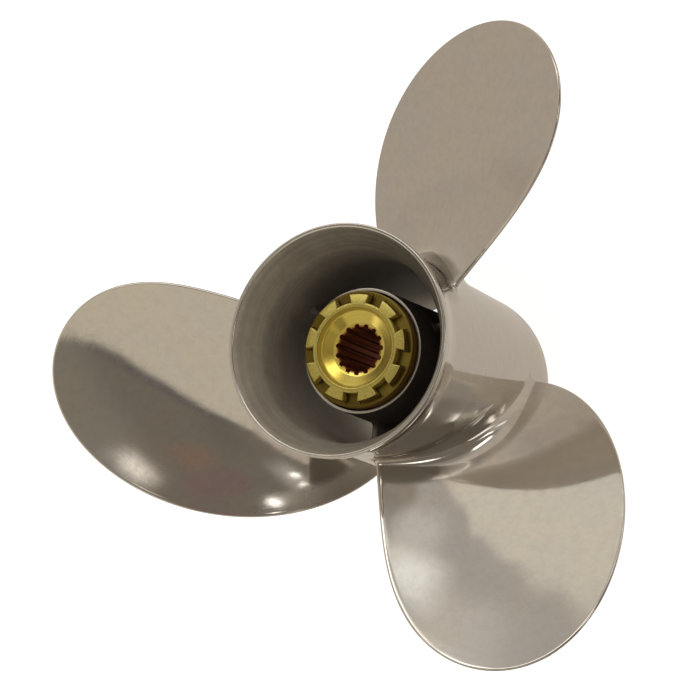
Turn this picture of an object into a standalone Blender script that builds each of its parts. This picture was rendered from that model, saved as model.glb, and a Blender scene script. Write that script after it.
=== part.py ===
"""Three-blade left-hand boat propeller with a through-hub exhaust, in polished stainless steel.

The shaft's axis is Z. +Z points aft, away from the gearcase, and z = 0 is the forward rim of the barrel,
on which the propeller stands. All sizes are in metres.
"""

import math

import bmesh
import bpy
from mathutils import Vector

# Driving dimensions of the whole propeller
DIAMETER = 0.3492
PITCH = 0.381
RAKE = math.radians(17.1)
BLADES = 3
FIRST_BLADE = math.radians(30.6)

# Barrel, the outer hub, from its forward rim to the flared ring
LENGTH = 0.1535
BARREL_FORWARD_R = 0.0511
BARREL_AFT_R = 0.0523
BORE_R = 0.0462
BORE_END_Z = 0.1245
BORE_FORWARD_R = 0.0454
THROAT_R = 0.0470
THROAT_Z = 0.1365
FLARE_START_Z = 0.1290
FLARE_END_R = 0.0558
RING_R = 0.0563
RING_BAND = 0.0042

# Inner hub tube and the ribs that carry it
TUBE_R = 0.0308
TUBE_FORWARD_R = 0.0332
TUBE_WALL = 0.0016
TUBE_FORWARD_Z = 0.0080
TUBE_AFT_Z = 0.1224
SHOULDER_R = 0.0240
SHOULDER = 0.0040
RIBS = 3
FIRST_RIB = math.radians(78.0)
RIB_THICKNESS = 0.0034
RIB_FORWARD_Z = 0.0140
RIB_AFT_Z = 0.1000

# Blades: widths and middles are polynomials of the share of the way from hub to tip
ROOT_R = 0.0506
BLADE_WIDTH = (0.1136, 0.0805, 0.0281, -0.0380)
BLADE_MIDDLE = (-0.0309, -0.0278, -0.0924, 0.0391)
BLADE_ROOT_Z = 0.0454
ROOT_THICKNESS = 0.0100
TIP_THICKNESS = 0.0026
EDGE_THICKNESS = 0.0022
FILLET_R = 0.0120
SINK = 0.0025
FILLET_HEIGHTS = (-SINK, 0.0007, 0.0016, 0.0030, 0.0055, 0.0085)
SPAN_STEPS = 16
SIDE_STEPS = 13
EDGE_STEPS = 4

# Brass drive sleeve
FACE_Z = 0.1315
TEETH = 9
TOOTH_HEIGHT = 0.0045
TOOTH_R = 0.0261
NOTCH_R = 0.0220
NOTCH_DEPTH = 0.0043
NOTCH_WIDTH = 0.0078
FIRST_NOTCH = math.radians(-1.6)
COLLAR_R = 0.0285
COLLAR_FORWARD_Z = 0.1180
DISH_RIM_R = 0.0197
DISH_FLOOR_R = 0.0188
DISH_WALL_DEPTH = 0.0028
DISH_DEPTH = 0.0054
SLEEVE_R = 0.0172
SLEEVE_FORWARD_Z = 0.0050
SPLINES = 15
FIRST_SPLINE = math.radians(5.2)
SPLINE_ROOT_R = 0.0125
SPLINE_TOP_R = 0.0110
GROOVE_WIDTH = 0.0024

# Neighbouring solids stay this far apart, also where the real thing is one casting
GAP = 0.0003
AROUND = 96
INNER_AROUND = 60
MERGE = 1e-6


def clear_scene():
    for obj in list(bpy.data.objects):
        bpy.data.objects.remove(obj, do_unlink=True)


def material(name, colour, roughness, metallic):
    made = bpy.data.materials.new(name)
    made.use_nodes = True
    shader = made.node_tree.nodes["Principled BSDF"]
    shader.inputs["Base Color"].default_value = (*colour, 1.0)
    shader.inputs["Roughness"].default_value = roughness
    shader.inputs["Metallic"].default_value = metallic
    return made


def add_object(name, shape):
    """A new object from a bmesh, with its faces turned outwards."""
    bmesh.ops.recalc_face_normals(shape, faces=shape.faces)
    mesh = bpy.data.meshes.new(name)
    shape.to_mesh(mesh)
    shape.free()
    obj = bpy.data.objects.new(name, mesh)
    bpy.context.scene.collection.objects.link(obj)
    return obj


def turned(name, profile, around):
    """A ring: the closed profile of (radius, z) points, spun once about Z."""
    shape = bmesh.new()
    points = [shape.verts.new((r, 0.0, z)) for r, z in profile]
    edges = [shape.edges.new((a, b)) for a, b in zip(points, points[1:] + points[:1])]
    bmesh.ops.spin(
        shape, geom=points + edges, cent=(0, 0, 0), axis=(0, 0, 1), angle=math.tau, steps=around, use_merge=True
    )
    bmesh.ops.remove_doubles(shape, verts=shape.verts, dist=MERGE)
    return add_object(name, shape)


def prism(name, outline, low, high):
    """The closed outline of (x, y) points, raised from low to high."""
    shape = bmesh.new()
    base = shape.faces.new([shape.verts.new((x, y, low)) for x, y in outline])
    raised = bmesh.ops.extrude_face_region(shape, geom=[base])["geom"]
    moved = [item for item in raised if isinstance(item, bmesh.types.BMVert)]
    bmesh.ops.translate(shape, verts=moved, vec=(0, 0, high - low))
    return add_object(name, shape)


def bar(name, angle, near, far, width, low, high):
    """An upright box that reaches outwards from the axis, from one radius to another."""
    along = Vector((math.cos(angle), math.sin(angle)))
    across = Vector((-along.y, along.x)) * width / 2
    corners = (along * near - across, along * far - across, along * far + across, along * near + across)
    return prism(name, [tuple(corner) for corner in corners], low, high)


def combine(target, other, operation):
    """Applies one Boolean to the target and removes the other object."""
    cut = target.modifiers.new(operation, "BOOLEAN")
    cut.operation = operation
    cut.object = other
    result = bpy.data.meshes.new_from_object(target.evaluated_get(bpy.context.evaluated_depsgraph_get()))
    target.modifiers.clear()
    target.data = result
    bpy.data.objects.remove(other, do_unlink=True)


def finish(obj, look):
    obj.data.materials.clear()
    obj.data.materials.append(look)
    obj.data.shade_smooth()
    obj.data.set_sharp_from_angle(angle=math.radians(35))


def polynomial(factors, share):
    return sum(factor * share**power for power, factor in enumerate(factors))


def barrel_radius(z):
    """The barrel's outer radius, ahead of the flare."""
    share = min(max(z / FLARE_START_Z, 0.0), 1.0)
    return BARREL_FORWARD_R + (BARREL_AFT_R - BARREL_FORWARD_R) * share


def bore_radius(z):
    """The barrel's inner radius: the casting's core tapers towards the forward rim."""
    return BORE_FORWARD_R + (BORE_R - BORE_FORWARD_R) * z / BORE_END_Z


def tube_radius(z):
    """The inner tube's outer radius, which tapers the other way."""
    share = (z - TUBE_FORWARD_Z) / (TUBE_AFT_Z - TUBE_FORWARD_Z)
    return TUBE_FORWARD_R + (TUBE_R - TUBE_FORWARD_R) * share


def barrel_profile():
    flare = []
    for step in range(1, 7):
        share = step / 6
        z = FLARE_START_Z + (LENGTH - RING_BAND - FLARE_START_Z) * share
        flare.append((BARREL_AFT_R + (FLARE_END_R - BARREL_AFT_R) * share**1.6, z))
    return [
        (BARREL_FORWARD_R - 0.0008, 0.0),
        (BARREL_FORWARD_R, 0.0010),
        (BARREL_AFT_R, FLARE_START_Z),
        *flare,
        (RING_R, LENGTH - RING_BAND + 0.0003),
        (RING_R, LENGTH - 0.0005),
        (RING_R - 0.0005, LENGTH),
        (RING_R - 0.0016, LENGTH),
        (THROAT_R + 0.0022, THROAT_Z + 0.0058),
        (THROAT_R, THROAT_Z),
        (BORE_R, BORE_END_Z),
        (BORE_FORWARD_R, 0.0),
    ]


def tube_profile():
    inside = TUBE_R - TUBE_WALL
    return [
        (TUBE_R - 0.0004, TUBE_AFT_Z),
        (inside, TUBE_AFT_Z),
        (inside, TUBE_FORWARD_Z + SHOULDER),
        (SHOULDER_R, TUBE_FORWARD_Z + SHOULDER),
        (SHOULDER_R, TUBE_FORWARD_Z),
        (TUBE_FORWARD_R, TUBE_FORWARD_Z),
        (TUBE_R, TUBE_AFT_Z - 0.0004),
    ]


def section(share, extra):
    """The blade's outline on one cylinder, as (along the chord, across it) from the chord's middle.

    It runs from the trailing edge along the aft face to the leading edge, round it, and back along the
    forward face. extra is how far the root fillet pushes the outline outwards.
    """
    width = math.sqrt(max(1.0 - share**2, 0.0)) * polynomial(BLADE_WIDTH, share)
    thick = ROOT_THICKNESS + (TIP_THICKNESS - ROOT_THICKNESS) * share**0.7
    edge = EDGE_THICKNESS / 2
    half = max(width / 2 - edge, 0.0)
    points = []
    for side in (1, -1):
        for step in range(SIDE_STEPS):
            along = -math.cos(math.pi * step / (SIDE_STEPS - 1)) * side
            belly = 0.0 if side > 0 else (thick - EDGE_THICKNESS) * (1 - along**2)
            points.append((along * half, side * (edge + extra) - belly))
        for step in range(1, EDGE_STEPS):
            turn = math.pi / 2 - math.pi * step / EDGE_STEPS
            reach = edge + extra
            points.append((side * (half + reach * math.cos(turn)), side * reach * math.sin(turn)))
    return points


def blade_row(share, height, extra, turn):
    """The section wrapped round the shaft at one height over the barrel, or at its share of the span."""
    nominal = ROOT_R + share * (DIAMETER / 2 - ROOT_R) if height is None else ROOT_R + height
    helix = math.atan2(PITCH, math.tau * nominal)
    lift = BLADE_ROOT_Z + math.tan(RAKE) * max(nominal - ROOT_R, 0.0)
    middle = polynomial(BLADE_MIDDLE, share)
    row = []
    for along, across in section(share, extra):
        chord = middle + along
        z = lift - chord * math.sin(helix) + across * math.cos(helix)
        sweep = chord * math.cos(helix) + across * math.sin(helix)
        radius = nominal if height is None else barrel_radius(z) + height
        angle = turn + sweep / nominal
        row.append((radius * math.cos(angle), radius * math.sin(angle), z))
    return row


def close_row(shape, loop):
    """Fills one row of the loft with strips across the blade, which keep to the row's cylinder."""
    ahead = SIDE_STEPS + EDGE_STEPS - 1
    for i in range(SIDE_STEPS - 1):
        opposite = ahead + SIDE_STEPS - 1 - i
        shape.faces.new((loop[i], loop[i + 1], loop[opposite - 1], loop[opposite]))
    shape.faces.new(loop[SIDE_STEPS - 1 : ahead + 1])
    shape.faces.new(loop[ahead + SIDE_STEPS - 1 :] + loop[:1])


def blade(name, turn):
    """One blade as a closed loft, whose foot ends just clear of the barrel's wall."""
    span = DIAMETER / 2 - ROOT_R
    rows = []
    for height in FILLET_HEIGHTS:
        flare = FILLET_R - math.sqrt(FILLET_R**2 - (FILLET_R - max(height, FILLET_HEIGHTS[1])) ** 2)
        rows.append(blade_row(max(height, 0.0) / span, height, flare, turn))
    start = math.asin(FILLET_R / span)
    for step in range(SPAN_STEPS):
        share = math.sin(start + (math.pi / 2 - start) * step / (SPAN_STEPS - 0.7))
        rows.append(blade_row(share, None, 0.0, turn))
    shape = bmesh.new()
    loops = [[shape.verts.new(point) for point in row] for row in rows]
    for low, high in zip(loops, loops[1:]):
        for i, point in enumerate(low):
            after = (i + 1) % len(low)
            shape.faces.new((point, low[after], high[after], high[i]))
    close_row(shape, loops[0])
    close_row(shape, loops[-1])
    made = add_object(name, shape)
    plug = [(0.0, -0.01), (BARREL_FORWARD_R + GAP, -0.01), (BARREL_FORWARD_R + GAP, 0.0)]
    plug += [(BARREL_AFT_R + GAP, FLARE_START_Z), (0.0, FLARE_START_Z)]
    combine(made, turned("plug", plug, AROUND), "DIFFERENCE")
    return made


def make_rib(number):
    """One of the flat ribs that carry the inner tube. Its edges follow the tube and the bore."""
    angle = FIRST_RIB + math.tau * number / RIBS
    along = Vector((math.cos(angle), math.sin(angle), 0.0))
    across = Vector((-along.y, along.x, 0.0)) * RIB_THICKNESS / 2
    flat = math.cos(math.pi / AROUND)
    shape = bmesh.new()
    sides = []
    for side in (-1, 1):
        corners = []
        for z in (RIB_FORWARD_Z, RIB_AFT_Z):
            lift = Vector((0.0, 0.0, z))
            corners.append(along * (tube_radius(z) + GAP) + across * side + lift)
            corners.append(along * (bore_radius(z) * flat - GAP) + across * side + lift)
        sides.append([shape.verts.new(corners[number]) for number in (0, 1, 3, 2)])
    shape.faces.new(sides[0])
    shape.faces.new(sides[1])
    for i in range(4):
        after = (i + 1) % 4
        shape.faces.new((sides[0][i], sides[0][after], sides[1][after], sides[1][i]))
    return add_object(f"rib_{number + 1}", shape)


def spline_outline():
    """The bore with its splines: a groove with a round bottom for each spline of the shaft."""
    points = []
    half = GROOVE_WIDTH / 2
    side = math.asin(half / SPLINE_TOP_R)
    for number in range(SPLINES):
        middle = FIRST_SPLINE + math.tau * number / SPLINES
        along = Vector((math.cos(middle), math.sin(middle)))
        across = Vector((-along.y, along.x))
        points.append(tuple(along * SPLINE_TOP_R * math.cos(side) - across * half))
        for turn in (-60, 0, 60):
            angle = math.radians(turn)
            centre = SPLINE_ROOT_R - half
            points.append(tuple(along * (centre + half * math.cos(angle)) + across * half * math.sin(angle)))
        points.append(tuple(along * SPLINE_TOP_R * math.cos(side) + across * half))
    return points


def make_sleeve():
    """The brass sleeve: collar, teeth, dish and splined bore."""
    profile = [
        (SLEEVE_R, SLEEVE_FORWARD_Z),
        (SLEEVE_R, COLLAR_FORWARD_Z),
        (COLLAR_R, COLLAR_FORWARD_Z),
        (COLLAR_R, FACE_Z - TOOTH_HEIGHT),
        (TOOTH_R, FACE_Z - TOOTH_HEIGHT),
        (TOOTH_R, FACE_Z),
        (DISH_RIM_R, FACE_Z),
        (DISH_FLOOR_R, FACE_Z - DISH_WALL_DEPTH),
        (SPLINE_ROOT_R + 0.0002, FACE_Z - DISH_DEPTH),
        (SPLINE_TOP_R - 0.0010, FACE_Z - DISH_DEPTH),
        (SPLINE_TOP_R - 0.0010, SLEEVE_FORWARD_Z),
    ]
    sleeve = turned("brass_drive_sleeve", profile, INNER_AROUND)
    combine(sleeve, prism("splines", spline_outline(), -0.01, FACE_Z + 0.01), "DIFFERENCE")
    for number in range(TEETH):
        angle = FIRST_NOTCH + math.tau * number / TEETH
        notch = bar("notch", angle, NOTCH_R, COLLAR_R, NOTCH_WIDTH, FACE_Z - NOTCH_DEPTH, FACE_Z + 0.01)
        combine(sleeve, notch, "DIFFERENCE")
    return sleeve


def make_bush():
    """The rubber bush that grips the sleeve inside the tube."""
    low = TUBE_FORWARD_Z + SHOULDER + GAP
    high = COLLAR_FORWARD_Z - GAP
    inner = SLEEVE_R + GAP
    outer = TUBE_R - TUBE_WALL - GAP
    return turned("rubber_bush", [(inner, low), (outer, low), (outer, high), (inner, high)], INNER_AROUND)


def main():
    clear_scene()
    steel = [turned("barrel", barrel_profile(), AROUND), turned("inner_tube", tube_profile(), INNER_AROUND)]
    steel += [make_rib(number) for number in range(RIBS)]
    steel += [blade(f"blade_{number + 1}", FIRST_BLADE + math.tau * number / BLADES) for number in range(BLADES)]
    for piece in steel:
        finish(piece, material(f"polished_stainless_{piece.name}", (0.62, 0.58, 0.53), 0.18, 1.0))
    finish(make_sleeve(), material("machined_brass", (0.72, 0.58, 0.22), 0.28, 1.0))
    finish(make_bush(), material("black_rubber", (0.03, 0.025, 0.022), 0.7, 0.0))


main()
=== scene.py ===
"""A three-blade boat propeller in polished stainless steel, with a brass drive sleeve in its hub.

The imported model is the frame: every piece made here stands where its solid stands, in metres, with the
shaft along Z and the flared ring at the top.
"""

from math import asin, atan2, cos, dist, hypot, pi, radians, sin, sqrt, tan, tau

import bmesh
import bpy
from mathutils import Matrix


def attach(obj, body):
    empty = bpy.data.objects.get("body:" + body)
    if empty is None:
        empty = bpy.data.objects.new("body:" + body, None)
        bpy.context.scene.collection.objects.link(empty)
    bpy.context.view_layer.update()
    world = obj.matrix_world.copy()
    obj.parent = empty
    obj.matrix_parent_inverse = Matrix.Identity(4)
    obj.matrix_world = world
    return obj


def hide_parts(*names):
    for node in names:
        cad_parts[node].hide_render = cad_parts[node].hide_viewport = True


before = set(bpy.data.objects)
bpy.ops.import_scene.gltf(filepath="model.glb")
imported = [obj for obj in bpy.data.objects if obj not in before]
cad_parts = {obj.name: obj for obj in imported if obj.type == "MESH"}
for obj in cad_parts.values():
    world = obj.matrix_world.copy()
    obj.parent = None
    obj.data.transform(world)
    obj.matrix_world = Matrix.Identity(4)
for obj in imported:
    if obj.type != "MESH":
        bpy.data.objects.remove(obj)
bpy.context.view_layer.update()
scene = bpy.context.scene

# Sizes of a blade, which are the named inputs of its tree
BLADE_SIZES = {
    "Diameter": 0.3492,
    "Pitch": 0.381,
    "Rake slope": tan(radians(17.1)),
    "Root radius": 0.0506,
    "Root height": 0.0454,
    "Root thickness": 0.0100,
    "Tip thickness": 0.0026,
    "Edge thickness": 0.0022,
    "Face fillet": 0.0135,
    "End fillet": 0.0042,
}
BLADES = 3
FIRST_BLADE = radians(30.6)
# Polynomials of the share of the span: the outline's width before the round tip narrows it, and its middle
BLADE_WIDTH = (0.1136, 0.0805, 0.0281, -0.0380)
BLADE_MIDDLE = (-0.0309, -0.0278, -0.0924, 0.0391)
THINNING_POWER = 0.7
FILLET_ROW_POWER = 1.5
FOOT_SINK = 0.0015
# The root follows the barrel, and fades into the true helix over this length
FOLLOWS_BARREL = 0.02
CLEAR_OF_BARREL = 2e-5

# Steps of the blade's grid
EDGE_COLUMNS = 24
FACE_COLUMNS = 72
FILLET_ROWS = 22
SPAN_ROWS = 96

# Barrel and ring
LENGTH = 0.1535
BARREL_FORWARD_R = 0.0511
BARREL_AFT_R = 0.0523
BORE_R = 0.0462
BORE_END_Z = 0.1245
BORE_FORWARD_R = 0.0454
THROAT_R = 0.0470
THROAT_Z = 0.1365
FLARE_START_Z = 0.1290
FLARE_END_R = 0.0558
RING_R = 0.0563
RING_BAND = 0.0042
RING_ROUNDING = 0.0005
RING_FLAT = 0.0014
RING_LIP = 0.0018

# Inner tube and ribs
TUBE_R = 0.0308
TUBE_FORWARD_R = 0.0332
TUBE_WALL = 0.0016
TUBE_FORWARD_Z = 0.0080
TUBE_AFT_Z = 0.1224
SHOULDER_R = 0.0240
SHOULDER = 0.0040
RIBS = 3
FIRST_RIB = radians(78.0)
RIB_THICKNESS = 0.0034
RIB_FORWARD_Z = 0.0140
RIB_AFT_Z = 0.1000
RIB_FILLET = 0.0022
RIB_INTO_TUBE = 0.0006
RIB_INTO_BARREL = 0.0010

# Brass sleeve
FACE_Z = 0.1315
TEETH = 9
FIRST_NOTCH = radians(-1.6)
TOOTH_HEIGHT = 0.0045
TOOTH_R = 0.0261
NOTCH_R = 0.0220
NOTCH_WIDTH = 0.0078
COLLAR_R = 0.0285
COLLAR_FORWARD_Z = 0.1180
COLLAR_BEVEL = 0.00028
DISH_RIM_R = 0.0197
DISH_WALL_R = 0.0188
DISH_WALL_DEPTH = 0.0028
DISH_FLAT_R = 0.01815
DISH_SEAM_R = 0.0166
DISH_FLOOR_R = 0.0131
DISH_DEPTH = 0.0054
SLEEVE_R = 0.0172
SLEEVE_FORWARD_Z = 0.0050
SPLINES = 15
FIRST_SPLINE = radians(5.2)
SPLINE_ROOT_R = 0.0125
SPLINE_TOP_R = 0.0110
GROOVE_WIDTH = 0.0024

# Every piece
GAP = 0.0003
AROUND = 288
MERGE = 2e-6
SHARP = radians(32)

# Kinds of socket
NUMBER = "NodeSocketFloat"
COUNT = "NodeSocketInt"
PLACE = "NodeSocketVector"
GEOMETRY = "NodeSocketGeometry"
MATERIAL = "NodeSocketMaterial"


# Maths written as nodes


def maths(operation):
    """A method that applies one kind of maths node."""
    return lambda self, *others: self.apply(operation, *others)


class Quantity:
    """A number that varies over a surface, kept as nodes of one tree and used like a plain number."""

    def __init__(self, tree, socket):
        self.tree = tree
        self.socket = socket

    def apply(self, operation, *others, clamp=False):
        inputs = dict(enumerate((self, *others)))
        made = node(self.tree, "ShaderNodeMath", inputs, operation=operation, use_clamp=clamp)
        return Quantity(self.tree, made.outputs[0])

    __add__ = __radd__ = maths("ADD")
    __sub__ = maths("SUBTRACT")
    __mul__ = __rmul__ = maths("MULTIPLY")
    __truediv__ = maths("DIVIDE")
    __pow__ = maths("POWER")
    sin = maths("SINE")
    cos = maths("COSINE")
    asin = maths("ARCSINE")
    sqrt = maths("SQRT")
    abs = maths("ABSOLUTE")
    sign = maths("SIGN")
    at_least = maths("MAXIMUM")
    at_most = maths("MINIMUM")

    def __rsub__(self, other):
        return self.apply("MULTIPLY_ADD", -1.0, other)

    def share(self):
        """The number, held between 0 and 1."""
        return self.apply("MULTIPLY", 1.0, clamp=True)

    def step(self, low, high):
        """A soft step: 0 below low, 1 above high, and smooth between them."""
        inputs = {"Value": self, "From Min": low, "From Max": high}
        made = node(self.tree, "ShaderNodeMapRange", inputs, interpolation_type="SMOOTHSTEP")
        return Quantity(self.tree, made.outputs["Result"])

    def fall(self, low, high):
        """A soft step down: 1 below low and 0 above high."""
        return 1.0 - self.step(low, high)


def feed(tree, socket, value):
    """Links a quantity or a node's socket to an input, or sets a plain value on it."""
    if isinstance(value, Quantity):
        tree.links.new(value.socket, socket)
    elif isinstance(value, bpy.types.NodeSocket):
        tree.links.new(value, socket)
    else:
        socket.default_value = value


def node(tree, kind, inputs=None, **settings):
    """A new node with its settings, and with its inputs set or linked by name or number."""
    made = tree.nodes.new(kind)
    for name, value in settings.items():
        setattr(made, name, value)
    for name, value in (inputs or {}).items():
        feed(tree, made.inputs[name], value)
    return made


def polynomial(factors, share):
    """The polynomial of a share, from its constant factor upwards."""
    total = factors[-1]
    for factor in reversed(factors[:-1]):
        total = total * share + factor
    return total


def slope_of(factors):
    """The factors of the polynomial's slope."""
    return tuple(power * factor for power, factor in enumerate(factors))[1:]


def between(start, end, share):
    """The value at a share of the way from start to end, of numbers or quantities."""
    return start + (end - start) * share


def shares(steps):
    """The shares 0 to 1 in even steps."""
    return [step / steps for step in range(steps + 1)]


def vector(tree, x, y, z):
    return node(tree, "ShaderNodeCombineXYZ", {"X": x, "Y": y, "Z": z}).outputs[0]


def split(tree, socket):
    parts = node(tree, "ShaderNodeSeparateXYZ", {0: socket})
    return [Quantity(tree, part) for part in parts.outputs]


def blend(tree, amount, first, second):
    """A colour between two others, each plain or from a socket, by a share from 0 to 1."""
    made = node(tree, "ShaderNodeMix", {"Factor": amount}, data_type="RGBA")
    for number, colour in ((6, first), (7, second)):
        feed(tree, made.inputs[number], (*colour, 1.0) if isinstance(colour, tuple) else colour)
    return made.outputs[2]


def noise(tree, place, scale, detail, roughness, distortion=0.0):
    """Blender's noise at a place, as a quantity between about 0 and 1."""
    inputs = dict(Vector=place, Scale=scale, Detail=detail, Roughness=roughness, Distortion=distortion)
    return Quantity(tree, node(tree, "ShaderNodeTexNoise", inputs).outputs["Fac"])


def new_group(name, kind, inputs, outputs):
    """A node group with named inputs and outputs, and a handle on each input."""
    group = bpy.data.node_groups.new(name, kind)
    for label, socket_kind, default in inputs:
        made = group.interface.new_socket(label, in_out="INPUT", socket_type=socket_kind)
        if default is not None:
            made.default_value = default
    for label, socket_kind in outputs:
        group.interface.new_socket(label, in_out="OUTPUT", socket_type=socket_kind)
    entry = group.nodes.new("NodeGroupInput")
    given = {}
    for label, socket_kind, default in inputs:
        socket = entry.outputs[label]
        given[label] = Quantity(group, socket) if socket_kind == NUMBER else socket
    return group, given


def end_group(group, results):
    node(group, "NodeGroupOutput", results)
    return group


# Meshes


def add_piece(name, shape, finish):
    """A new object from a bmesh, shaded smooth but for its sharp edges."""
    mesh = bpy.data.meshes.new(name)
    shape.to_mesh(mesh)
    shape.free()
    piece = bpy.data.objects.new(name, mesh)
    scene.collection.objects.link(piece)
    smooth(mesh)
    mesh.materials.append(finish)
    return piece


def smooth(mesh):
    mesh.shade_smooth()
    mesh.set_sharp_from_angle(angle=SHARP)


def turned(name, profile, finish):
    """A closed profile of (radius, z) points, turned once round the shaft."""
    shape = bmesh.new()
    points = [shape.verts.new((r, 0.0, z)) for r, z in profile]
    edges = [shape.edges.new(pair) for pair in zip(points, points[1:] + points[:1])]
    bmesh.ops.spin(
        shape,
        geom=points + edges,
        cent=(0, 0, 0),
        axis=(0, 0, 1),
        angle=tau,
        steps=AROUND,
        use_merge=True,
    )
    bmesh.ops.remove_doubles(shape, verts=shape.verts, dist=MERGE)
    bmesh.ops.recalc_face_normals(shape, faces=shape.faces)
    return add_piece(name, shape, finish)


def rounded(profile, radius):
    """The closed profile with each corner rounded, where its sides are long enough."""
    result = []
    for before, corner, after in zip(profile[-1:] + profile[:-1], profile, profile[1:] + profile[:1]):
        sides = [dist(corner, other) for other in (before, after)]
        cut = min(radius, *(side * 0.45 for side in sides))
        start, end = [
            tuple(c + (e - c) * cut / side for c, e in zip(corner, other))
            for other, side in zip((before, after), sides)
        ]
        for t in shares(3):
            weights = ((1 - t) ** 2, 2 * t * (1 - t), t * t)
            result.append(tuple(sum(w * v for w, v in zip(weights, row)) for row in zip(start, corner, end)))
    return result


def circle(radius, angles, z):
    return [(radius * cos(angle), radius * sin(angle), z) for angle in angles]


def lofted(loops, closed_along):
    """A bmesh skin over loops of equally many points."""
    shape = bmesh.new()
    rows = [[shape.verts.new(point) for point in loop] for loop in loops]
    if closed_along:
        rows.append(rows[0])
    for low, high in zip(rows, rows[1:]):
        for a, b, c, d in zip(low, low[1:], high[1:], high):
            shape.faces.new((a, b, c, d))
    return shape


# Geometry node trees


def new_tree(name, inputs):
    """A geometry node group with its own inputs, then the first piece's angle and the finish."""
    inputs = [*inputs, ("First angle", NUMBER, 0.0), ("Finish", MATERIAL, None)]
    return new_group(name, "GeometryNodeTree", inputs, [("Geometry", GEOMETRY)])


def end_tree(tree, geometry, material):
    """Every tree ends alike: instances made real, points joined, and the finish set."""
    real = node(tree, "GeometryNodeRealizeInstances", {0: geometry}).outputs[0]
    joined = node(tree, "GeometryNodeMergeByDistance", {"Geometry": real, "Distance": MERGE}).outputs[0]
    dressed = node(tree, "GeometryNodeSetMaterial", {"Geometry": joined, "Material": material}).outputs[0]
    return end_group(tree, {"Geometry": dressed})


def grown(name, tree, values, start=None):
    """Runs a tree on an object and keeps the result as a plain mesh, its faces pointing out."""
    holder = start or bpy.data.objects.new(name, bpy.data.meshes.new(name))
    if start is None:
        scene.collection.objects.link(holder)
    growth = holder.modifiers.new(tree.name, "NODES")
    growth.node_group = tree
    for item in tree.interface.items_tree:
        if item.in_out == "INPUT" and item.name in values:
            growth[item.identifier] = values[item.name]
    evaluated = holder.evaluated_get(bpy.context.evaluated_depsgraph_get())
    mesh = bpy.data.meshes.new_from_object(evaluated)
    mesh.name = name
    holder.modifiers.clear()
    holder.data = mesh
    shape = bmesh.new()
    shape.from_mesh(mesh)
    bmesh.ops.recalc_face_normals(shape, faces=shape.faces)
    shape.to_mesh(mesh)
    shape.free()
    smooth(mesh)
    return holder


def ring_of_copies_tree():
    """Copies of one piece, evenly round the shaft."""
    tree, given = new_tree("ring_of_copies", [("Piece", GEOMETRY, None), ("Count", COUNT, 3)])
    points = node(tree, "GeometryNodePoints", {"Count": given["Count"], "Position": (0, 0, 0)})
    number = Quantity(tree, node(tree, "GeometryNodeInputIndex").outputs[0])
    turn = given["First angle"] + number * tau / Quantity(tree, given["Count"])
    rotation = vector(tree, 0.0, 0.0, turn)
    inputs = {"Points": points.outputs[0], "Instance": given["Piece"], "Rotation": rotation}
    copies = node(tree, "GeometryNodeInstanceOnPoints", inputs)
    return end_tree(tree, copies.outputs[0], given["Finish"])


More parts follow.
